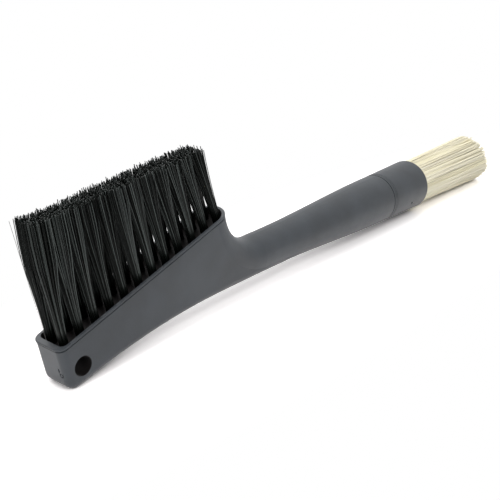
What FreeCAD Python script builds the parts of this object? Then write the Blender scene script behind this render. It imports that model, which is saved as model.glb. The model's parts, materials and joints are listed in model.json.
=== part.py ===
import FreeCAD, Part
import math
import os

from FreeCAD import Placement, Rotation, Vector

# Double-ended brush for cleaning a coffee grinder, lying on its back: long
# dark tufts point up at one end, and a round bundle of pale natural bristle
# points along the handle at the other. X runs from the tufted block to the
# natural bristle, Z is up. Lengths are in millimetres and angles in degrees.

# Tufted block
block_width = 11.5
rim_angle = 16.3
rim_low_height = 13.4
end_face_lean = 10.7
block_edge_radius = 2.4
foot_corner_radius = 3.2
underside_rise = 14.0
underside_crest_height = 6.9
block_tail = 20.0
block_tail_depth = 5.6

# Rim and recess
lip_height = 0.5
lip_overhang = 0.25
lip_rounding = 0.3
rim_groove_width = 0.5
rim_groove_depth = 0.2
recess_depth = 2.5
side_wall = 0.7
end_wall = 1.5
recess_corner_radius = 1.6

# Hanging hole
hang_radius = 2.85
hang_from_end = 4.8
hang_below_rim = 8.8

# Moulding marks low on the end face
gate_radius = 0.75
gate_core_radius = 0.4
gate_height = 4.8
gate_offset = 3.3
nick_width = 0.5
nick_length = 1.3
nick_height = 6.85
nick_offset = 2.95
mark_depth = 0.3

# Neck and grip
neck_from_end = 64.2
neck_inner_radius = 16.0
neck_swell = 0.08
neck_steps = 6
grip_drop = 0.77
joint_x = 156.9
joint_height = 11.15
waist_radius = 6.6
middle_radius = 7.5
swell_radius = 8.9
joint_radius = 9.05
middle_share = 0.45
swell_share = 0.88

# Collar
collar_length = 23.8
collar_mouth_radius = 9.6
collar_bore_radius = 7.9
collar_socket_depth = 9.0
pocket_radius = 8.8
collar_rounding = 0.35
ring_groove_count = 2
ring_groove_width = 0.3
ring_groove_depth = 0.06
ring_groove_pitch = 0.8
joint_groove_width = 0.36
joint_groove_depth = 0.35
crimp_radius = 0.5
crimp_depth = 0.4
crimp_from_mouth = 10.4
crimp_turn = 21.0
spigot_clearance = 0.05

# Natural bristle
plug_thickness = 4.5
bundle_clearance = 0.12
bundle_length = 51.5
bundle_radius = 9.8
bundle_shoulder_radius = 9.3
bundle_shoulder_share = 0.25
bundle_end_rounding = 3.5
bundle_floor_gap = 0.1

# Long tufts
tufts_per_row = 12
row_offset = 2.6
first_tuft = 3.5
last_tuft = 65.9
tuft_sides = 8
tuft_root_radius = 1.4
tuft_hole_depth = 2.6
tuft_fit = 0.05
tip_field_start = 6.3
tip_field_end = 66.6
tip_field_width = 7.7
tip_gap = 0.12
long_tip = 34.3
short_tip = 22.6
knee_share = 0.35
knee_fill = 0.62
round_power = 2.0
knee_power = 2.2
tip_power = 3.0

# Staples that hold the tufts
staple_height = 0.8
staple_thickness = 0.4
staple_clearance = 0.05


def radians(angle):
    return math.radians(angle)


# Frames: along the rim, along the grip, along the natural bristle
rim_frame = Placement(Vector(0, 0, rim_low_height), Rotation(Vector(0, 1, 0), -rim_angle))
joint_frame = Placement(Vector(joint_x, 0, joint_height), Rotation(Vector(0, 1, 0), grip_drop))
half_width = block_width / 2


def in_rim_frame(along, above, across=0.0):
    return rim_frame.multVec(Vector(along, across, above))


def in_joint_frame(along, across=0.0, above=0.0):
    return joint_frame.multVec(Vector(along, across, above))


def placed(shape, frame):
    result = shape.copy()
    result.Placement = frame.multiply(result.Placement)
    return result


def line(start, end):
    return Part.LineSegment(start, end).toShape()


def arc(start, middle, end):
    return Part.Arc(start, middle, end).toShape()


def edge_middle(edge):
    return edge.valueAt((edge.FirstParameter + edge.LastParameter) / 2)


def edges_at(shape, middles):
    return [edge for edge in shape.Edges
            if any(edge_middle(edge).distanceToPoint(middle) < 0.001 for middle in middles)]


# Centre line of neck and grip: down from the rim, round a bend, along the grip
def spine():
    down = Vector(math.sin(radians(rim_angle)), 0, -math.cos(radians(rim_angle)))
    along = in_joint_frame(1) - in_joint_frame(0)
    rim_point = in_rim_frame(neck_from_end, 0)
    joint_point = in_joint_frame(0)
    gap = joint_point - rim_point
    cross = down.x * along.z - down.z * along.x
    reach = (gap.x * along.z - gap.z * along.x) / cross
    corner = rim_point + down * reach
    turn = math.acos(down.dot(along))
    bend_radius = neck_inner_radius + half_width
    tangent = bend_radius * math.tan(turn / 2)
    start = corner - down * tangent
    end = corner + along * tangent
    centre = start + Vector(-down.z, 0, down.x) * bend_radius
    return {"down": down, "along": along, "rim": rim_point, "start": start, "end": end,
            "centre": centre, "radius": bend_radius, "turn": turn, "joint": joint_point}


def bend_point(path, share):
    swing = Rotation(Vector(0, 1, 0), -math.degrees(path["turn"]) * share)
    point = path["centre"] + swing.multVec(path["start"] - path["centre"])
    return point, swing.multVec(path["down"])


def ring_section(point, direction, radius):
    turn = Rotation(Vector(1, 0, 0), direction)
    circle = Part.Wire([Part.Circle(Vector(0, 0, 0), Vector(1, 0, 0), radius).toShape()])
    return placed(circle, Placement(point, turn))


# The neck is round and bends from square onto the rim to along the grip
def neck_body():
    path = spine()
    above_rim = path["rim"] - path["down"] * lip_height
    neck_radius = half_width + neck_swell
    sections = [ring_section(above_rim, path["down"], neck_radius)]
    for step in range(neck_steps + 1):
        share = step / neck_steps
        point, direction = bend_point(path, share)
        radius = neck_radius + (waist_radius - neck_radius) * share * share
        sections.append(ring_section(point, direction, radius))
    return Part.makeLoft(sections, True, False)


# The grip is turned: slim at the waist, fuller towards the collar
def grip_body():
    path = spine()
    run = (path["joint"] - path["end"]).Length
    curve = Part.BSplineCurve()
    curve.interpolate([Vector(-run, 0, waist_radius), Vector(run * (middle_share - 1), 0, middle_radius),
                       Vector(run * (swell_share - 1), 0, swell_radius), Vector(0, 0, joint_radius)])
    start = Vector(-run, 0, 0)
    end = Vector(0, 0, 0)
    edges = [line(start, Vector(-run, 0, waist_radius)), curve.toShape(),
             line(Vector(0, 0, joint_radius), end), line(end, start)]
    solid = Part.Face(Part.Wire(edges)).revolve(Vector(0, 0, 0), Vector(1, 0, 0), 360)
    return placed(solid, joint_frame)


# Side outline of the block: the edges that get rounded, then those that don't
def block_outline():
    path = spine()
    lean = Vector(math.sin(radians(end_face_lean)), 0, -math.cos(radians(end_face_lean)))
    top = in_rim_frame(0, 0)
    corner = top + lean * (top.z / -lean.z)
    half_turn = radians(90 - end_face_lean) / 2
    reach = foot_corner_radius * math.tan(half_turn)
    on_end = corner - lean * reach
    foot_centre = corner + Vector(reach, 0, foot_corner_radius)
    foot_lowest = corner + Vector(reach, 0, 0)
    rise = radians(underside_rise)
    off_foot = foot_centre + Vector(math.sin(rise), 0, -math.cos(rise)) * foot_corner_radius
    arch_radius = (underside_crest_height - off_foot.z) / (1 - math.cos(rise))
    arch_centre = off_foot + Vector(math.sin(rise), 0, -math.cos(rise)) * arch_radius
    arch_middle = arch_centre + Vector(-math.sin(rise / 2), 0, math.cos(rise / 2)) * arch_radius
    crest = arch_centre + Vector(0, 0, arch_radius)
    tail = path["end"] + path["along"] * block_tail
    low_tail = tail - Vector(0, 0, block_tail_depth)
    step = low_tail - crest
    tail_radius = (step.x ** 2 + step.z ** 2) / (2 * step.z)
    half_swing = math.asin(step.x / tail_radius) / 2
    tail_middle = crest + Vector(math.sin(half_swing), 0, 1 - math.cos(half_swing)) * tail_radius
    bend_middle, direction = bend_point(path, 0.5)
    rounded = [line(top, on_end), arc(on_end, foot_lowest, off_foot), arc(off_foot, arch_middle, crest),
               arc(crest, tail_middle, low_tail)]
    plain = [line(low_tail, tail), line(tail, path["end"]), arc(path["end"], bend_middle, path["start"]),
             line(path["start"], path["rim"]), line(path["rim"], top)]
    return rounded, plain


def block_body():
    rounded, plain = block_outline()
    face = Part.Face(Part.Wire(rounded + plain))
    face.translate(Vector(0, -half_width, 0))
    solid = face.extrude(Vector(0, block_width, 0))
    marks = []
    for edge in rounded:
        marks += [edge_middle(edge) + Vector(0, side * half_width, 0) for side in (-1, 1)]
    return solid.makeFillet(block_edge_radius, edges_at(solid, marks))


# Plan outline seen square onto the rim: square end with round corners, half-round neck end
def plan_outline(start, half, corner, level):
    end = neck_from_end
    slant = corner * (1 - math.sqrt(0.5))
    points = [Vector(start + corner, -half, level), Vector(start + slant, -half + slant, level),
              Vector(start, -half + corner, level), Vector(start, half - corner, level),
              Vector(start + slant, half - slant, level), Vector(start + corner, half, level),
              Vector(end, half, level), Vector(end + half, 0, level), Vector(end, -half, level)]
    return [arc(points[0], points[1], points[2]), line(points[2], points[3]),
            arc(points[3], points[4], points[5]), line(points[5], points[6]),
            arc(points[6], points[7], points[8]), line(points[8], points[0])]


def plan_prism(outline, height):
    return placed(Part.Face(Part.Wire(outline)).extrude(Vector(0, 0, height)), rim_frame)


def lip_outline(level):
    return plan_outline(-lip_overhang, half_width + lip_overhang, block_edge_radius + lip_overhang, level)


def lip():
    return plan_prism(lip_outline(-lip_height), 2 * lip_height)


# Fine groove that sets the lip off from the sides of the block
def rim_groove():
    low = -lip_height - rim_groove_width
    corner = block_edge_radius - rim_groove_depth
    inside = plan_outline(rim_groove_depth, half_width - rim_groove_depth, corner, low)
    outside = plan_outline(-block_width, half_width + block_width, block_edge_radius + block_width, low)
    return plan_prism(outside, rim_groove_width).cut(plan_prism(inside, rim_groove_width))


def recess():
    outline = plan_outline(end_wall, half_width - side_wall, recess_corner_radius, -recess_depth)
    return plan_prism(outline, recess_depth + lip_height)


def above_rim_trim():
    size = neck_from_end * 2
    box = Part.makeBox(size, size, size / 2, Vector(-size / 4, -size / 2, 0))
    return placed(box, rim_frame)


def tuft_places():
    pitch = (last_tuft - first_tuft) / (tufts_per_row - 1)
    return [first_tuft + pitch * index for index in range(tufts_per_row)]


def tuft_hole(along, side):
    bottom = -recess_depth - tuft_hole_depth
    place = Vector(along, side * row_offset, bottom)
    hole = Part.makeCylinder(tuft_root_radius + tuft_fit, tuft_hole_depth + recess_depth, place)
    return placed(hole, rim_frame)


def hang_hole():
    centre = in_rim_frame(hang_from_end, -hang_below_rim)
    start = Vector(centre.x, -block_width, centre.z)
    return Part.makeCylinder(hang_radius, 2 * block_width, start, Vector(0, 1, 0))


# Small round gate mark and nick left by the mould on the end face
def mould_marks():
    lean = Vector(math.sin(radians(end_face_lean)), 0, -math.cos(radians(end_face_lean)))
    outward = Vector(-math.cos(radians(end_face_lean)), 0, -math.sin(radians(end_face_lean)))
    top = in_rim_frame(0, 0)
    gate_place = top + lean * ((top.z - gate_height) / -lean.z) + Vector(0, -gate_offset, 0)
    ring = Part.makeCylinder(gate_radius, 2 * mark_depth, gate_place - outward * mark_depth, outward)
    core = Part.makeCylinder(gate_core_radius, 2 * mark_depth, gate_place - outward * mark_depth, outward)
    nick_place = top + lean * ((top.z - nick_height) / -lean.z) + Vector(0, -nick_offset, 0)
    nick = Part.makeBox(2 * mark_depth, nick_width, nick_length)
    turn = Rotation(Vector(0, 1, 0), 180 - end_face_lean)
    nick.Placement = Placement(nick_place - outward * mark_depth, turn)
    return [ring.cut(core), nick]


def spigot():
    radius = collar_bore_radius - spigot_clearance
    inset = joint_radius / 2
    cylinder = Part.makeCylinder(radius, collar_socket_depth + inset, Vector(-inset, 0, 0), Vector(1, 0, 0))
    return placed(cylinder, joint_frame)


def handle():
    body = block_body().Solids[0].fuse([neck_body(), grip_body(), lip(), spigot()])
    body = body.cut(above_rim_trim())
    for piece in [rim_groove(), recess(), hang_hole()] + mould_marks():
        body = body.cut(piece)
    body = body.cut([tuft_hole(along, side) for along in tuft_places() for side in (-1, 1)])
    body = body.removeSplitter().Solids[0]
    marks = [rim_frame.multVec(edge_middle(edge)) for edge in lip_outline(0)]
    return body.makeFillet(lip_rounding, edges_at(body, marks))


# Cross-section of a tuft: an ellipse where power is 2, nearer a rectangle where it is larger
def tuft_section(along, across, above, half_long, half_wide, slope, power):
    points = []
    for step in range(tuft_sides):
        angle = 2 * math.pi * step / tuft_sides
        cosine = math.cos(angle)
        sine = math.sin(angle)
        long = math.copysign(abs(cosine) ** (2 / power), cosine) * half_long
        wide = math.copysign(abs(sine) ** (2 / power), sine) * half_wide
        points.append(Vector(along + long, across + wide, above + slope * long))
    return Part.makePolygon(points + [points[0]])


def tuft(index, side):
    along = tuft_places()[index]
    tip_pitch = (tip_field_end - tip_field_start) / tufts_per_row
    tip_along = tip_field_start + tip_pitch * (index + 0.5)
    tip_slope = (short_tip - long_tip) / (tip_field_end - tip_field_start)
    tip_above = long_tip + tip_slope * (tip_along - tip_field_start)
    tip_half_long = (tip_pitch - tip_gap) / 2
    tip_half_wide = (tip_field_width / 2 - tip_gap) / 2
    tip_across = side * (tip_gap / 2 + tip_half_wide)
    root_across = side * row_offset
    knee_along = along + (tip_along - along) * knee_share
    knee_across = root_across + (tip_across - root_across) * knee_share
    knee_above = -recess_depth + (tip_above + recess_depth) * knee_share
    knee_long = tuft_root_radius + (tip_half_long - tuft_root_radius) * knee_fill
    knee_wide = tuft_root_radius + (tip_half_wide - tuft_root_radius) * knee_fill
    knee_slope = tip_slope * knee_share
    sections = [
        tuft_section(along, root_across, -recess_depth, tuft_root_radius, tuft_root_radius, 0, round_power),
        tuft_section(knee_along, knee_across, knee_above, knee_long, knee_wide, knee_slope, knee_power),
        tuft_section(tip_along, tip_across, tip_above, tip_half_long, tip_half_wide, tip_slope, tip_power),
    ]
    fan = Part.makeLoft(sections, True, True)
    root = Part.Face(sections[0]).extrude(Vector(0, 0, staple_height - tuft_hole_depth))
    return placed(root.fuse(fan), rim_frame)


def staples():
    length = 2 * (tuft_root_radius - staple_clearance)
    bottom = -recess_depth - tuft_hole_depth
    pieces = []
    for along in tuft_places():
        for side in (-1, 1):
            corner = Vector(along - length / 2, side * row_offset - staple_thickness / 2, bottom)
            pieces.append(placed(Part.makeBox(length, staple_thickness, staple_height, corner), rim_frame))
    return Part.makeCompound(pieces)


# Lathe shape about the grip axis, from (distance, radius) corners
def lathe(corners):
    points = [Vector(along, 0, radius) for along, radius in corners]
    wire = Part.makePolygon(points + [points[0]])
    return Part.Face(wire).revolve(Vector(0, 0, 0), Vector(1, 0, 0), 360)


def ring_cut(start, width, floor):
    return lathe([(start, floor), (start, 2 * joint_radius), (start + width, 2 * joint_radius),
                  (start + width, floor)])


# The first groove shows as the joint with the grip, the others are fine rings beside it
def collar():
    outer = lathe([(0, 0), (0, joint_radius), (collar_length, collar_mouth_radius), (collar_length, 0)])
    mouth_edge = edges_at(outer, [Vector(collar_length, 0, -collar_mouth_radius)])
    outer = outer.makeFillet(collar_rounding, mouth_edge)
    start = -collar_socket_depth
    inner = lathe([(start, 0), (start, collar_bore_radius), (collar_socket_depth, collar_bore_radius),
                   (collar_socket_depth, pocket_radius), (2 * collar_length, pocket_radius),
                   (2 * collar_length, 0)])
    grooves = [ring_cut(0, joint_groove_width, joint_radius - joint_groove_depth)]
    flare = (collar_mouth_radius - joint_radius) / collar_length
    for index in range(ring_groove_count):
        place = joint_groove_width + (index + 1) * ring_groove_pitch
        grooves.append(ring_cut(place, ring_groove_width, joint_radius + flare * place - ring_groove_depth))
    turn = radians(crimp_turn)
    along = collar_length - crimp_from_mouth
    outward = Vector(0, -math.cos(turn), -math.sin(turn))
    bottom = Vector(along, 0, 0) + outward * (joint_radius + flare * along - crimp_depth)
    crimp = Part.makeCylinder(crimp_radius, 2 * crimp_depth, bottom, outward)
    return placed(outer.cut([inner, crimp] + grooves), joint_frame)


def root_plug():
    start = Vector(collar_socket_depth, 0, 0)
    solid = Part.makeCylinder(pocket_radius - bundle_clearance, plug_thickness, start, Vector(1, 0, 0))
    return placed(solid, joint_frame)


# The soft bundle droops from the collar mouth until it just clears the surface it lies on
def natural_bristle():
    mouth = in_joint_frame(collar_length)
    root = collar_socket_depth + plug_thickness + bundle_clearance - collar_length
    full = bundle_length - bundle_end_rounding
    fall = mouth.z - bundle_radius - bundle_floor_gap
    droop = math.degrees(math.asin(fall / full))
    start_radius = pocket_radius - bundle_clearance
    shoulder = bundle_length * bundle_shoulder_share
    curve = Part.BSplineCurve()
    curve.interpolate([Vector(0, 0, start_radius), Vector(shoulder, 0, bundle_shoulder_radius),
                       Vector(full, 0, bundle_radius)])
    half_turn = bundle_end_rounding * math.sqrt(0.5)
    turn_middle = Vector(full + half_turn, 0, bundle_radius - bundle_end_rounding + half_turn)
    end = Vector(bundle_length, 0, bundle_radius - bundle_end_rounding)
    edges = [line(Vector(root, 0, 0), Vector(root, 0, start_radius)),
             line(Vector(root, 0, start_radius), Vector(0, 0, start_radius)),
             curve.toShape(), arc(Vector(full, 0, bundle_radius), turn_middle, end),
             line(end, Vector(bundle_length, 0, 0)), line(Vector(bundle_length, 0, 0), Vector(root, 0, 0))]
    body = Part.Face(Part.Wire(edges)).revolve(Vector(0, 0, 0), Vector(1, 0, 0), 360)
    return placed(body, Placement(mouth, Rotation(Vector(0, 1, 0), droop)))


def all_parts():
    parts = {"handle": handle(), "collar": collar(), "root_plug": root_plug(),
             "natural_bristle": natural_bristle(), "tuft_staples": staples()}
    for index in range(tufts_per_row):
        parts["tuft_near_%02d" % (index + 1)] = tuft(index, -1)
        parts["tuft_far_%02d" % (index + 1)] = tuft(index, 1)
    return parts


# The origin is the middle of the box round the whole brush, on the surface it lies on
def main():
    os.makedirs("parts", exist_ok=True)
    parts = all_parts()
    box = Part.makeCompound(list(parts.values())).optimalBoundingBox(False, False)
    shift = Vector(-(box.XMin + box.XMax) / 2, -(box.YMin + box.YMax) / 2, -box.ZMin)
    for name, shape in parts.items():
        shape.translate(shift)
        shape.exportStep("parts/%s.step" % name)
        print(name, "solids", len(shape.Solids), "valid", shape.isValid(), "volume %.1f" % shape.Volume)
    print("shift", shift, "size %.2f %.2f %.2f" % (box.XLength, box.YLength, box.ZLength))


main()
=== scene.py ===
import json
import math

import bpy
import numpy as np
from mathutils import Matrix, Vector


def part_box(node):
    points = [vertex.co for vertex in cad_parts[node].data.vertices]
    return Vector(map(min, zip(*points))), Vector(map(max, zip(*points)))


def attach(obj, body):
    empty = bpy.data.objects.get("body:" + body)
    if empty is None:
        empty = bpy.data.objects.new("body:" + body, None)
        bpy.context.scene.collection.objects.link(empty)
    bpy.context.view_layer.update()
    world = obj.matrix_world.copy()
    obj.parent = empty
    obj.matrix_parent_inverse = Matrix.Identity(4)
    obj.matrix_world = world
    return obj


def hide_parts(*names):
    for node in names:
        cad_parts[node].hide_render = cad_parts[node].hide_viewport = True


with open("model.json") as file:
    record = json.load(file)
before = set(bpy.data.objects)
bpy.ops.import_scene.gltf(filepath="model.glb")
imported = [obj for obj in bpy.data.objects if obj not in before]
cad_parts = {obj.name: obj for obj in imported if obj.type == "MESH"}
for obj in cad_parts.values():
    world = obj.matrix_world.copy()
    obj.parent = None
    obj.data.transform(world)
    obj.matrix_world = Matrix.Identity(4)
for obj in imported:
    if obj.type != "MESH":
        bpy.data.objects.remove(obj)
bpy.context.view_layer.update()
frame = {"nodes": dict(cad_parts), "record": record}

# Lengths on the brush are in millimetres until they become vertices or shader values, in metres
MM = 0.001

# Rim of the tufted block, found from the hanging hole
RIM_ANGLE = math.radians(16.3)
HOLE_FROM_END = 4.8
HOLE_BELOW_RIM = 8.8

# Inside of the hanging hole and of the recess that holds the tufts, where the plastic gets painted shade:
# a near-black colour and a share of its gloss
HOLE_RADIUS = 2.85
RECESS_START = 1.5
RECESS_STRAIGHT_END = 64.2
RECESS_HALF_WIDTH = 5.05
RECESS_DEPTH = 2.5
INSIDE_MARGIN = 0.05
PAINTED_SHADE_COLOUR = (0.006, 0.005, 0.005)
PAINTED_SHADE_GLOSS_SHARE = 1 / 6

# Places of the tufts and the field of their tips, as in the solids
TUFTS_PER_ROW = 12
ROW_OFFSET = 2.6
FIRST_TUFT = 3.5
LAST_TUFT = 65.9
FIELD_START = 6.3
FIELD_END = 66.6
FIELD_WIDTH = 7.7
LONG_TIP = 34.3
SHORT_TIP = 22.6

# The tips are cut to a straight slope with a slight rise at its start
START_RISE = 0.8
START_RISE_LENGTH = 3.0

# Nylon strands, which reach down into the hole of their tuft
TUFT_SEED = 7
STRANDS_PER_TUFT = 110
TUFT_RADIUS = 1.22
HOLE_REACH = 1.6
STRAND_RADIUS = 0.115
STRAND_WIDTHS = (0.85, 1.15)
STRAND_SIDES = 6
STRAND_POINTS = 9
ROOT_POINTS_POWER = 1.4
ROOT_SCATTER = 0.04
STRAND_BOW = 0.05
CUT_SCATTER = 0.38

# They lean from the tuft's root to its place in the field, and fan out near their tips
LEAN_POWER = 1.25
SPREAD_HEIGHT = 26.0
SPREAD_POWER = 1.95
TIP_SPREAD_LONG = 2.95
TIP_SPREAD_WIDE = 2.0
TIP_SQUARENESS = 0.7
TIP_SCATTER = 0.12
TUFT_SHIFT_LONG = 0.2
TUFT_SHIFT_WIDE = 0.1

# Painted shade on the strands: they are coloured dark at the root and lit above it, with a rounded lower
# edge, each to its own shade
LIT_FROM = 2.6
LIT_RISE = 1.6
LIT_ROUNDING = 0.9
STRAND_SHADES = 0.9

# One fine stray strand stands out beside the first far tuft, by points along the rim and above it
STRAY_RADIUS = 0.07
STRAY_ACROSS = 3.0
STRAY_ROUTE = ((2.1, -2.5), (4.3, 24.6), (5.2, 35.3))

# Grip and collar, as in the solids
GRIP_DROP = math.radians(0.77)
JOINT_HEIGHT = 11.15
COLLAR_LENGTH = 23.8

# Natural bristle, whose root and length are measured from the mouth of the collar
BUNDLE_ROOT = -9.0
BUNDLE_LENGTH = 51.0
BUNDLE_DROOP = math.radians(1.11)
BUNDLE_ROOT_RADIUS = 8.5
BUNDLE_RADIUS = 9.6

# Its hairs, which flare a little and gather in locks
BUNDLE_SEED = 11
HAIRS = 2900
HAIR_RADIUS = 0.175
HAIR_WIDTHS = (0.75, 1.15)
HAIR_TIP_WIDTH = 0.85
HAIR_SIDES = 5
HAIR_POINTS = 6
HAIR_BOW = 0.15
HAIR_TIP_SCATTER = 0.35
FLARE_POWER = 1.2
FLARE_ROOM = 0.3
LOCKS = 70
LOCK_SCATTER = 0.04
LOCK_PULL = 0.05
LOCK_PULL_MORE = 0.12
LOCK_TIP_SCATTER = 0.18
LOCK_SHADE_SHARE = 0.5

# Its cut end, a little shorter round the edge, uneven, and longer on the lower near side
EDGE_SHORTER_BY = 0.4
EDGE_POWER = 6
HAIR_CUT_SCATTER = 0.4
LOCK_CUT_SCATTER = 0.5
WORN_BY = 1.5
WORN_POWER = 3
LONGER_SIDE = (-0.5, -0.87)
LONGER_BY = 4.0

# Charcoal plastic: colours by cloud, gloss, roughness by smudge, sheen and grain
PLASTIC_STOPS = ((0.35, (0.032, 0.036, 0.041)), (0.65, (0.041, 0.047, 0.054)))
PLASTIC_GLOSS = 0.35
PLASTIC_ROUGHNESS = (0.42, 0.54)
PLASTIC_SHEEN = 0.1
PLASTIC_SHEEN_ROUGHNESS = 0.4
PLASTIC_GRAIN_DEPTH = 0.06
PLASTIC_GRAIN_STRENGTH = 0.35

# Noise patterns, each by its scale, in cells a metre, and its detail
PLASTIC_CLOUDS = (90.0, 4.0)
PLASTIC_SMUDGES = (260.0, 3.0)
PLASTIC_GRAIN = (5200.0, 3.0)
PLAIN_CLOUDS = (900.0, 3.0)

# Strand colours by the shade from 0 to 1 that each strand has, with gloss at 0 and at 1; a nylon shade
# near 0 is the painted shade at the root
NYLON_STOPS = (
    (0.0, (0.002, 0.0025, 0.002)),
    (0.5, (0.008, 0.01, 0.009)),
    (STRAND_SHADES, (0.06, 0.071, 0.067)),
    (1.0, (0.2, 0.2, 0.19)),
)
NYLON_ROUGHNESS = 0.34
NYLON_GLOSS = (0.02, 0.34)
HAIR_STOPS = (
    (0.0, (0.82, 0.77, 0.57)),
    (0.45, (0.84, 0.79, 0.61)),
    (1.0, (0.87, 0.83, 0.69)),
)
HAIR_ROUGHNESS = 0.5
HAIR_GLOSS = (0.4, 0.5)

# Resin and wire inside the brush
RESIN_COLOUR = (0.4, 0.3, 0.15)
WIRE_COLOUR = (0.7, 0.58, 0.32)
PLAIN_ROUGHNESS = 0.35
PLAIN_STOPS = (0.3, 0.7)
PLAIN_DARKEST = 0.75

# Light and floor, in metres: the seen floor's colour is over 1, so that it looks white where it is lit
FLOOR_REACH = 4.0
FLOOR_COLOUR = (0.9, 0.9, 0.9)
FLOOR_SEEN = (1.44, 1.4, 1.39)
SHADOW_ROOM = (0.15, 0.038)
SHADOW_FADE = 1.5
WORLD_COLOUR = (0.97, 0.98, 1.0)
WORLD_LIGHT = 0.24
WHITE = (1.0, 1.0, 1.0)

# Camera, whose place was fitted to the photograph in the brush's millimetres
CAMERA_PLACE = Vector((-237.93, -173.02, 127.13)) * MM
CAMERA_AZIMUTH = math.radians(49.98)
CAMERA_DOWN = math.radians(22.86)
CAMERA_NEAREST = 0.01
SENSOR = 36.0
FOCAL_LENGTH = 64.8

along_rim = np.array((math.cos(RIM_ANGLE), 0.0, math.sin(RIM_ANGLE)))
above_rim = np.array((-math.sin(RIM_ANGLE), 0.0, math.cos(RIM_ANGLE)))
across = np.array((0.0, 1.0, 0.0))
hole = np.array(frame["record"]["mounts"][0]["pos_m"]) / MM
rim_corner = hole - along_rim * HOLE_FROM_END + above_rim * HOLE_BELOW_RIM


def new_object(name, data):
    obj = bpy.data.objects.new(name, data)
    bpy.context.scene.collection.objects.link(obj)
    return obj


def facing(direction):
    return direction.to_track_quat("-Z", "Y").to_euler()


# Shader nodes
def new_material(name):
    material = bpy.data.materials.new(name)
    material.use_nodes = True
    tree = material.node_tree
    shader = tree.nodes["Principled BSDF"]
    return material, tree, shader


def place_on_object(tree):
    return tree.nodes.new("ShaderNodeTexCoord").outputs["Object"]


def noise(tree, coordinates, scale, detail):
    node = tree.nodes.new("ShaderNodeTexNoise")
    node.inputs["Scale"].default_value = scale
    node.inputs["Detail"].default_value = detail
    tree.links.new(coordinates, node.inputs["Vector"])
    return node.outputs["Fac"]


def ramp(tree, value, stops):
    node = tree.nodes.new("ShaderNodeValToRGB")
    elements = node.color_ramp.elements
    while len(elements) < len(stops):
        elements.new(0.5)
    for element, (position, colour) in zip(elements, stops):
        element.position = position
        element.color = (*colour, 1.0)
    tree.links.new(value, node.inputs["Fac"])
    return node.outputs["Color"]


# A value from 0 to 1, spread from low to high
def spread(tree, value, low, high):
    node = tree.nodes.new("ShaderNodeMapRange")
    node.inputs["To Min"].default_value = low
    node.inputs["To Max"].default_value = high
    tree.links.new(value, node.inputs["Value"])
    return node.outputs["Result"]


def bump(tree, height, distance, strength, shader):
    node = tree.nodes.new("ShaderNodeBump")
    node.inputs["Distance"].default_value = distance
    node.inputs["Strength"].default_value = strength
    tree.links.new(height, node.inputs["Height"])
    tree.links.new(node.outputs["Normal"], shader.inputs["Normal"])


def mix_shaders(tree, share, first, second):
    node = tree.nodes.new("ShaderNodeMixShader")
    tree.links.new(share, node.inputs["Fac"])
    tree.links.new(first, node.inputs[1])
    tree.links.new(second, node.inputs[2])
    return node.outputs["Shader"]


def math_node(tree, operation, first, second):
    node = tree.nodes.new("ShaderNodeMath")
    node.operation = operation
    for socket, value in zip(node.inputs, (first, second)):
        if isinstance(value, float):
            socket.default_value = value
        else:
            tree.links.new(value, socket)
    return node.outputs["Value"]


def vector_length(tree, vector):
    node = tree.nodes.new("ShaderNodeVectorMath")
    node.operation = "LENGTH"
    tree.links.new(vector, node.inputs[0])
    return node.outputs["Value"]


# 1 where the point (first, second), in metres, is nearer to (0, 0) than the reach in millimetres
def within(tree, first, second, reach):
    point = tree.nodes.new("ShaderNodeCombineXYZ")
    tree.links.new(first, point.inputs["X"])
    tree.links.new(second, point.inputs["Y"])
    return math_node(tree, "LESS_THAN", vector_length(tree, point.outputs["Vector"]), reach * MM)


# Mask of the painted shade: 1 in the recess that holds the tufts and in the hanging hole, 0 elsewhere on
# the handle
def painted_shade_in_openings(tree, place):
    turned = tree.nodes.new("ShaderNodeMapping")
    turned.vector_type = "TEXTURE"
    turned.inputs["Location"].default_value = rim_corner * MM
    turned.inputs["Rotation"].default_value = (0.0, -RIM_ANGLE, 0.0)
    tree.links.new(place, turned.inputs["Vector"])
    parts = tree.nodes.new("ShaderNodeSeparateXYZ")
    tree.links.new(turned.outputs["Vector"], parts.inputs["Vector"])
    along, sideways, height = (parts.outputs[axis] for axis in "XYZ")
    past_straight = math_node(tree, "SUBTRACT", along, RECESS_STRAIGHT_END * MM)
    past_straight = math_node(tree, "MAXIMUM", past_straight, 0.0)
    in_outline = within(tree, past_straight, sideways, RECESS_HALF_WIDTH + INSIDE_MARGIN)
    past_start = math_node(tree, "GREATER_THAN", along, (RECESS_START - INSIDE_MARGIN) * MM)
    above_bottom = math_node(tree, "GREATER_THAN", height, -(RECESS_DEPTH + INSIDE_MARGIN) * MM)
    below_rim = math_node(tree, "LESS_THAN", height, -INSIDE_MARGIN * MM)
    in_recess = math_node(tree, "MULTIPLY", in_outline, past_start)
    in_recess = math_node(tree, "MULTIPLY", in_recess, above_bottom)
    in_recess = math_node(tree, "MULTIPLY", in_recess, below_rim)
    from_hole = math_node(tree, "SUBTRACT", along, HOLE_FROM_END * MM)
    over_hole = math_node(tree, "ADD", height, HOLE_BELOW_RIM * MM)
    in_hole = within(tree, from_hole, over_hole, HOLE_RADIUS + INSIDE_MARGIN)
    return math_node(tree, "MAXIMUM", in_recess, in_hole)


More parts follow.
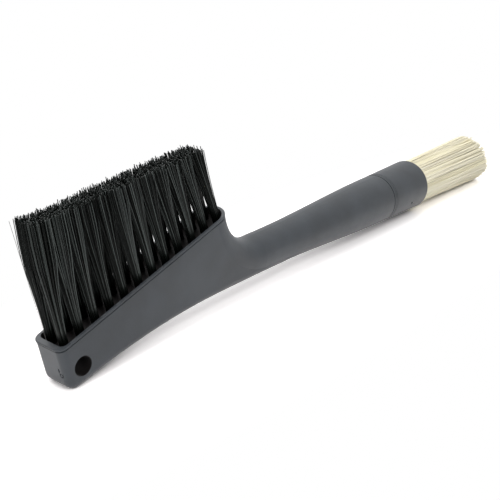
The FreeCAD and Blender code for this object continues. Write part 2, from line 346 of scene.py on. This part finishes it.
# Materials
def moulded_plastic():
    material, tree, shader = new_material("charcoal_plastic")
    place = place_on_object(tree)
    inside = painted_shade_in_openings(tree, place)
    # Painted shade in the recess and the hanging hole: a near-black colour and less gloss there
    shaded = tree.nodes.new("ShaderNodeMix")
    shaded.data_type = "RGBA"
    tree.links.new(inside, shaded.inputs["Factor"])
    tree.links.new(ramp(tree, noise(tree, place, *PLASTIC_CLOUDS), PLASTIC_STOPS), shaded.inputs["A"])
    shaded.inputs["B"].default_value = (*PAINTED_SHADE_COLOUR, 1.0)
    tree.links.new(shaded.outputs["Result"], shader.inputs["Base Color"])
    gloss = spread(tree, inside, PLASTIC_GLOSS, PLASTIC_GLOSS * PAINTED_SHADE_GLOSS_SHARE)
    tree.links.new(gloss, shader.inputs["Specular IOR Level"])
    roughness = spread(tree, noise(tree, place, *PLASTIC_SMUDGES), *PLASTIC_ROUGHNESS)
    tree.links.new(roughness, shader.inputs["Roughness"])
    shader.inputs["Sheen Weight"].default_value = PLASTIC_SHEEN
    shader.inputs["Sheen Roughness"].default_value = PLASTIC_SHEEN_ROUGHNESS
    grain = noise(tree, place, *PLASTIC_GRAIN)
    bump(tree, grain, PLASTIC_GRAIN_DEPTH * MM, PLASTIC_GRAIN_STRENGTH, shader)
    return material


def strand_material(name, stops, roughness, gloss):
    material, tree, shader = new_material(name)
    attribute = tree.nodes.new("ShaderNodeAttribute")
    attribute.attribute_name = "shade"
    shade = attribute.outputs["Fac"]
    tree.links.new(ramp(tree, shade, stops), shader.inputs["Base Color"])
    tree.links.new(spread(tree, shade, *gloss), shader.inputs["Specular IOR Level"])
    shader.inputs["Roughness"].default_value = roughness
    return material


def plain_material(name, colour, metallic):
    material, tree, shader = new_material(name)
    darker = tuple(channel * PLAIN_DARKEST for channel in colour)
    clouds = noise(tree, place_on_object(tree), *PLAIN_CLOUDS)
    stops = list(zip(PLAIN_STOPS, (darker, colour)))
    tree.links.new(ramp(tree, clouds, stops), shader.inputs["Base Color"])
    shader.inputs["Roughness"].default_value = PLAIN_ROUGHNESS
    shader.inputs["Metallic"].default_value = metallic
    return material


def dress(node, material):
    obj = frame["nodes"][node]
    obj.data.materials.clear()
    obj.data.materials.append(material)


# Corners of a round tube along each centre line, in an array of lines, points, sides and x, y, z
def tube_corners(lines, radii, sides):
    tangent = np.gradient(lines, axis=1)
    tangent /= np.linalg.norm(tangent, axis=2, keepdims=True)
    first = np.cross(tangent, across)
    first /= np.linalg.norm(first, axis=2, keepdims=True)
    second = np.cross(tangent, first)
    angles = 2 * math.pi * np.arange(sides) / sides
    rings = np.cos(angles)[:, None] * first[:, :, None] + np.sin(angles)[:, None] * second[:, :, None]
    return lines[:, :, None] + radii[:, :, None, None] * rings


# Flat ends with a sharp edge round them
def sharpen_ends(mesh, ends):
    at_end = np.zeros(len(mesh.vertices), bool)
    at_end[ends] = True
    edges = np.empty(2 * len(mesh.edges), int)
    mesh.edges.foreach_get("vertices", edges)
    sharp = mesh.attributes.new("sharp_edge", "BOOLEAN", "EDGE")
    sharp.data.foreach_set("value", at_end[edges.reshape(-1, 2)].all(axis=1))


# One mesh of many fine round strands, from their centre lines
def strand_object(name, lines, radii, shades, sides, material):
    corners = tube_corners(lines, radii, sides) * MM
    index = np.arange(shades.size * sides).reshape(*shades.shape, sides)
    turned = np.roll(index, -1, axis=2)
    walls = np.stack((index[:, :-1], turned[:, :-1], turned[:, 1:], index[:, 1:]), axis=-1).reshape(-1, 4)
    ends = np.concatenate((index[:, 0, ::-1], index[:, -1]))
    mesh = bpy.data.meshes.new(name)
    mesh.from_pydata(corners.reshape(-1, 3).tolist(), [], walls.tolist() + ends.tolist())
    mesh.polygons.foreach_set("use_smooth", [True] * len(walls) + [False] * len(ends))
    sharpen_ends(mesh, ends)
    shade = mesh.attributes.new("shade", "FLOAT", "POINT")
    shade.data.foreach_set("value", np.repeat(shades.ravel(), sides))
    mesh.materials.append(material)
    mesh.update()
    piece = new_object(name, mesh)
    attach(piece, "root")
    return piece


# Even filling of a disc of radius 1, as seeds fill a flower head
def disc(count):
    golden_angle = math.pi * (3.0 - math.sqrt(5.0))
    step = np.arange(count)
    radius = np.sqrt((step + 0.5) / count)
    return np.stack((radius * np.cos(golden_angle * step), radius * np.sin(golden_angle * step)), axis=-1)


# A disc pushed out towards a square with rounded corners
def squared(points, amount):
    length = np.linalg.norm(points, axis=1, keepdims=True)
    widest = np.abs(points).max(axis=1, keepdims=True)
    return points * (1 + amount * (length / widest - 1))


# Tufts
def tip_height(along):
    slope = (LONG_TIP - SHORT_TIP) / (FIELD_END - FIELD_START)
    past_start = along - FIELD_START
    return LONG_TIP - slope * past_start + START_RISE * np.exp(-past_start / START_RISE_LENGTH)


def rim_points(along, sideways, height):
    return (rim_corner + along[..., None] * along_rim + sideways[..., None] * across
            + height[..., None] * above_rim)


# Where each strand starts, from the middle of its tuft's root, then where its tip is along and
# across the rim, and how high above it
def strand_ends(centre, draw):
    seeds = disc(STRANDS_PER_TUFT)
    roots = seeds * TUFT_RADIUS + draw.normal(0, ROOT_SCATTER, seeds.shape)
    tips = centre + squared(seeds, TIP_SQUARENESS) * (TIP_SPREAD_LONG, TIP_SPREAD_WIDE)
    tips = tips + draw.normal(0, TIP_SCATTER, tips.shape)
    reach = FIELD_WIDTH / 2
    tips = np.clip(tips, (FIELD_START, -reach), (FIELD_END, reach))
    tip_heights = tip_height(tips[:, 0]) + draw.normal(0, CUT_SCATTER, STRANDS_PER_TUFT)
    return roots, tips, tip_heights


# Centre lines of one tuft's strands, which start in its hole, and how lit each point is painted, dark at
# the root
def tuft_lines(index, side, draw):
    root_pitch = (LAST_TUFT - FIRST_TUFT) / (TUFTS_PER_ROW - 1)
    root_centre = np.array((FIRST_TUFT + root_pitch * index, side * ROW_OFFSET))
    tip_pitch = (FIELD_END - FIELD_START) / TUFTS_PER_ROW
    tip_along = FIELD_START + tip_pitch * (index + 0.5) + draw.normal(0, TUFT_SHIFT_LONG)
    tip_across = side * FIELD_WIDTH / 4 + draw.normal(0, TUFT_SHIFT_WIDE)
    tip_centre = np.array((tip_along, tip_across))
    roots, tips, tip_heights = strand_ends(tip_centre, draw)
    opening = tips - tip_centre - roots
    bow = draw.normal(0, STRAND_BOW, (STRANDS_PER_TUFT, 2))
    share = np.linspace(0, 1, STRAND_POINTS) ** ROOT_POINTS_POWER
    lean = share ** LEAN_POWER
    wave = np.sin(math.pi * share)
    height = (tip_heights[:, None] + RECESS_DEPTH) * share
    fan = np.minimum(1, height / SPREAD_HEIGHT) ** SPREAD_POWER
    flat = (root_centre + roots[:, None] + (tip_centre - root_centre) * lean[:, None]
            + opening[:, None] * fan[..., None] + bow[:, None] * wave[:, None])
    lines = rim_points(flat[..., 0], flat[..., 1], height - RECESS_DEPTH)
    below = lines[:, :1] - above_rim * HOLE_REACH
    # Painted shade: strands are darkened near the root, up to a greater height towards the sides of the
    # tuft
    lit_from = LIT_FROM + LIT_ROUNDING * (roots[:, :1] / TUFT_RADIUS) ** 2
    lit = np.clip((height - lit_from) / LIT_RISE, 0, 1)
    return np.concatenate((below, lines), axis=1), np.concatenate((lit[:, :1], lit), axis=1)


def stray_line(points):
    along, height = np.array(STRAY_ROUTE).T
    steps = np.linspace(0, 1, points)
    knots = np.linspace(0, 1, len(along))
    along = np.interp(steps, knots, along)
    height = np.interp(steps, knots, height)
    return rim_points(along, np.full(points, STRAY_ACROSS), height)


def add_tufts(material):
    draw = np.random.RandomState(TUFT_SEED)
    for index in range(TUFTS_PER_ROW):
        for row, side in (("near", -1), ("far", 1)):
            lines, lit = tuft_lines(index, side, draw)
            widths = draw.uniform(*STRAND_WIDTHS, (STRANDS_PER_TUFT, 1))
            radii = STRAND_RADIUS * widths * np.ones(lit.shape)
            shades = lit * draw.rand(STRANDS_PER_TUFT, 1) * STRAND_SHADES
            if (row, index) == ("far", 0):
                points = lines.shape[1]
                lines = np.concatenate((lines, stray_line(points)[None]))
                radii = np.concatenate((radii, np.full((1, points), STRAY_RADIUS)))
                shades = np.concatenate((shades, np.ones((1, points))))
            name = "bristles_%s_%02d" % (row, index + 1)
            piece = strand_object(name, lines, radii, shades, STRAND_SIDES, material)
            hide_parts("tuft_%s_%02d" % (row, index + 1))


# Natural bristle: the tips of its hairs across the bundle, drawn towards the middles of their locks
def hair_tips(seeds, locks, nearest, draw):
    pull = LOCK_PULL + LOCK_PULL_MORE * draw.rand(LOCKS)[nearest][:, None]
    tips = (seeds + (locks[nearest] - seeds) * pull) * BUNDLE_RADIUS
    tips = tips + draw.normal(0, HAIR_TIP_SCATTER, tips.shape)
    tips = tips + draw.normal(0, LOCK_TIP_SCATTER, (LOCKS, 2))[nearest]
    limit = BUNDLE_RADIUS + FLARE_ROOM
    from_middle = np.linalg.norm(tips, axis=1, keepdims=True)
    return np.where(from_middle > limit, tips * limit / from_middle, tips)


# How far each hair reaches out of the collar
def hair_lengths(seeds, nearest, draw):
    edge = np.linalg.norm(seeds, axis=1)
    lengths = BUNDLE_LENGTH - EDGE_SHORTER_BY * edge ** EDGE_POWER
    lengths = lengths + draw.normal(0, HAIR_CUT_SCATTER, HAIRS)
    lengths = lengths + draw.normal(0, LOCK_CUT_SCATTER, LOCKS)[nearest]
    lengths = lengths - WORN_BY * draw.rand(HAIRS) ** WORN_POWER
    return lengths + LONGER_BY * np.clip(seeds @ np.array(LONGER_SIDE), 0, 1) ** 2


# Centre lines of the hairs, none of them below the floor, and the lock of each
def bundle_lines(draw):
    mouth_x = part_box("collar")[1].x / MM
    mouth_z = JOINT_HEIGHT - COLLAR_LENGTH * math.sin(GRIP_DROP)
    mouth = np.array((mouth_x, 0.0, mouth_z))
    forward = np.array((math.cos(BUNDLE_DROOP), 0.0, -math.sin(BUNDLE_DROOP)))
    upward = np.array((math.sin(BUNDLE_DROOP), 0.0, math.cos(BUNDLE_DROOP)))
    seeds = disc(HAIRS)
    locks = disc(LOCKS) + draw.normal(0, LOCK_SCATTER, (LOCKS, 2))
    nearest = np.argmin(((seeds[:, None] - locks[None]) ** 2).sum(axis=2), axis=1)
    tips = hair_tips(seeds, locks, nearest, draw)
    lengths = hair_lengths(seeds, nearest, draw)
    roots = seeds * BUNDLE_ROOT_RADIUS
    share = np.linspace(0, 1, HAIR_POINTS)
    flare = share ** FLARE_POWER
    bow = draw.normal(0, HAIR_BOW, (HAIRS, 2))
    wave = np.sin(math.pi * share)
    flat = roots[:, None] + (tips - roots)[:, None] * flare[:, None] + bow[:, None] * wave[:, None]
    reach = BUNDLE_ROOT + (lengths[:, None] - BUNDLE_ROOT) * share
    lines = mouth + reach[..., None] * forward + flat[..., :1] * across + flat[..., 1:] * upward
    lines[..., 2] = np.maximum(lines[..., 2], HAIR_RADIUS)
    return lines, nearest


def add_natural_bristle(material):
    draw = np.random.RandomState(BUNDLE_SEED)
    lines, locks = bundle_lines(draw)
    taper = np.linspace(1.0, HAIR_TIP_WIDTH, HAIR_POINTS)
    radii = HAIR_RADIUS * taper * draw.uniform(*HAIR_WIDTHS, (HAIRS, 1))
    shades = (1 - LOCK_SHADE_SHARE) * draw.rand(HAIRS) + LOCK_SHADE_SHARE * draw.rand(LOCKS)[locks]
    shades = np.repeat(shades[:, None], HAIR_POINTS, axis=1)
    piece = strand_object("bristles_natural", lines, radii, shades, HAIR_SIDES, material)
    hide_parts("natural_bristle")


# 1 for a ray that shows the studio: straight to the camera, by reflection or through glass
def seen_ray(tree):
    rays = tree.nodes.new("ShaderNodeLightPath")
    seen = math_node(tree, "MAXIMUM", rays.outputs["Is Camera Ray"], rays.outputs["Is Glossy Ray"])
    return math_node(tree, "MAXIMUM", seen, rays.outputs["Is Transmission Ray"])


# 0 on the floor near the brush, 1 outside the oval that its shadow needs
def away_from_brush(tree):
    oval = tree.nodes.new("ShaderNodeMapping")
    oval.inputs["Scale"].default_value = (1 / SHADOW_ROOM[0], 1 / SHADOW_ROOM[1], 0.0)
    tree.links.new(place_on_object(tree), oval.inputs["Vector"])
    fade = tree.nodes.new("ShaderNodeMapRange")
    fade.interpolation_type = "SMOOTHSTEP"
    fade.inputs["From Min"].default_value = 1.0
    fade.inputs["From Max"].default_value = SHADOW_FADE
    tree.links.new(vector_length(tree, oval.outputs["Vector"]), fade.inputs["Value"])
    return fade.outputs["Result"]


# The floor is white where it is seen, and keeps the shadow of the brush
def floor_material():
    material, tree, shader = new_material("floor_white")
    shader.inputs["Base Color"].default_value = (*FLOOR_COLOUR, 1.0)
    shader.inputs["Roughness"].default_value = 1.0
    shader.inputs["Specular IOR Level"].default_value = 0.0
    shadowed = tree.nodes.new("ShaderNodeBsdfDiffuse")
    shadowed.inputs["Color"].default_value = (*FLOOR_SEEN, 1.0)
    white = tree.nodes.new("ShaderNodeEmission")
    seen = mix_shaders(tree, away_from_brush(tree), shadowed.outputs["BSDF"], white.outputs["Emission"])
    surface = mix_shaders(tree, seen_ray(tree), shader.outputs["BSDF"], seen)
    tree.links.new(surface, tree.nodes["Material Output"].inputs["Surface"])
    return material


def add_floor():
    mesh = bpy.data.meshes.new("floor")
    corners = [(x * FLOOR_REACH, y * FLOOR_REACH, 0) for x, y in ((-1, -1), (1, -1), (1, 1), (-1, 1))]
    mesh.from_pydata(corners, [], [(0, 1, 2, 3)])
    mesh.materials.append(floor_material())
    floor = new_object("floor", mesh)


def add_world():
    world = bpy.data.worlds.new("studio")
    bpy.context.scene.world = world
    world.use_nodes = True
    tree = world.node_tree
    room = tree.nodes["Background"]
    room.inputs["Color"].default_value = (*WORLD_COLOUR, 1.0)
    room.inputs["Strength"].default_value = WORLD_LIGHT
    white = tree.nodes.new("ShaderNodeBackground")
    white.inputs["Color"].default_value = (*WHITE, 1.0)
    surface = mix_shaders(tree, seen_ray(tree), room.outputs["Background"], white.outputs["Background"])
    tree.links.new(surface, tree.nodes["World Output"].inputs["Surface"])


# A lamp is a disc that faces the brush; one that isn't mirrored leaves no bright spot on it
def add_lamp(name, place, size, power, mirrored):
    data = bpy.data.lights.new(name, "AREA")
    data.shape = "DISK"
    data.size = size
    data.energy = power
    lamp = new_object(name, data)
    lamp.visible_glossy = mirrored
    lamp.location = place
    lamp.rotation_euler = facing(-Vector(place))


def add_camera():
    data = bpy.data.cameras.new("camera")
    data.sensor_width = SENSOR
    data.lens = FOCAL_LENGTH
    data.clip_start = CAMERA_NEAREST
    camera = new_object("camera", data)
    camera.location = CAMERA_PLACE
    level = math.cos(CAMERA_DOWN)
    look_x = math.sin(CAMERA_AZIMUTH) * level
    look_y = math.cos(CAMERA_AZIMUTH) * level
    camera.rotation_euler = facing(Vector((look_x, look_y, -math.sin(CAMERA_DOWN))))
    bpy.context.scene.camera = camera


plastic = moulded_plastic()
dress("handle", plastic)
dress("collar", plastic)
dress("root_plug", plain_material("set_resin", RESIN_COLOUR, metallic=0.0))
dress("tuft_staples", plain_material("drawn_wire", WIRE_COLOUR, metallic=1.0))
add_tufts(strand_material("black_nylon", NYLON_STOPS, NYLON_ROUGHNESS, NYLON_GLOSS))
add_natural_bristle(strand_material("natural_hair", HAIR_STOPS, HAIR_ROUGHNESS, HAIR_GLOSS))

add_floor()
add_world()
add_lamp("key", (0.1, 0.1, 0.95), size=0.9, power=4.4, mirrored=True)
add_lamp("back", (0.0, 0.8, 0.6), size=0.8, power=4.2, mirrored=True)
add_lamp("left", (-0.75, -0.25, 0.6), size=0.4, power=2.6, mirrored=False)
add_lamp("front", (-0.25, -0.65, 0.75), size=0.4, power=3.9, mirrored=False)
add_lamp("right", (0.75, -0.1, 0.5), size=0.5, power=1.2, mirrored=False)
add_camera()
bpy.context.scene.view_settings.view_transform = "Standard"
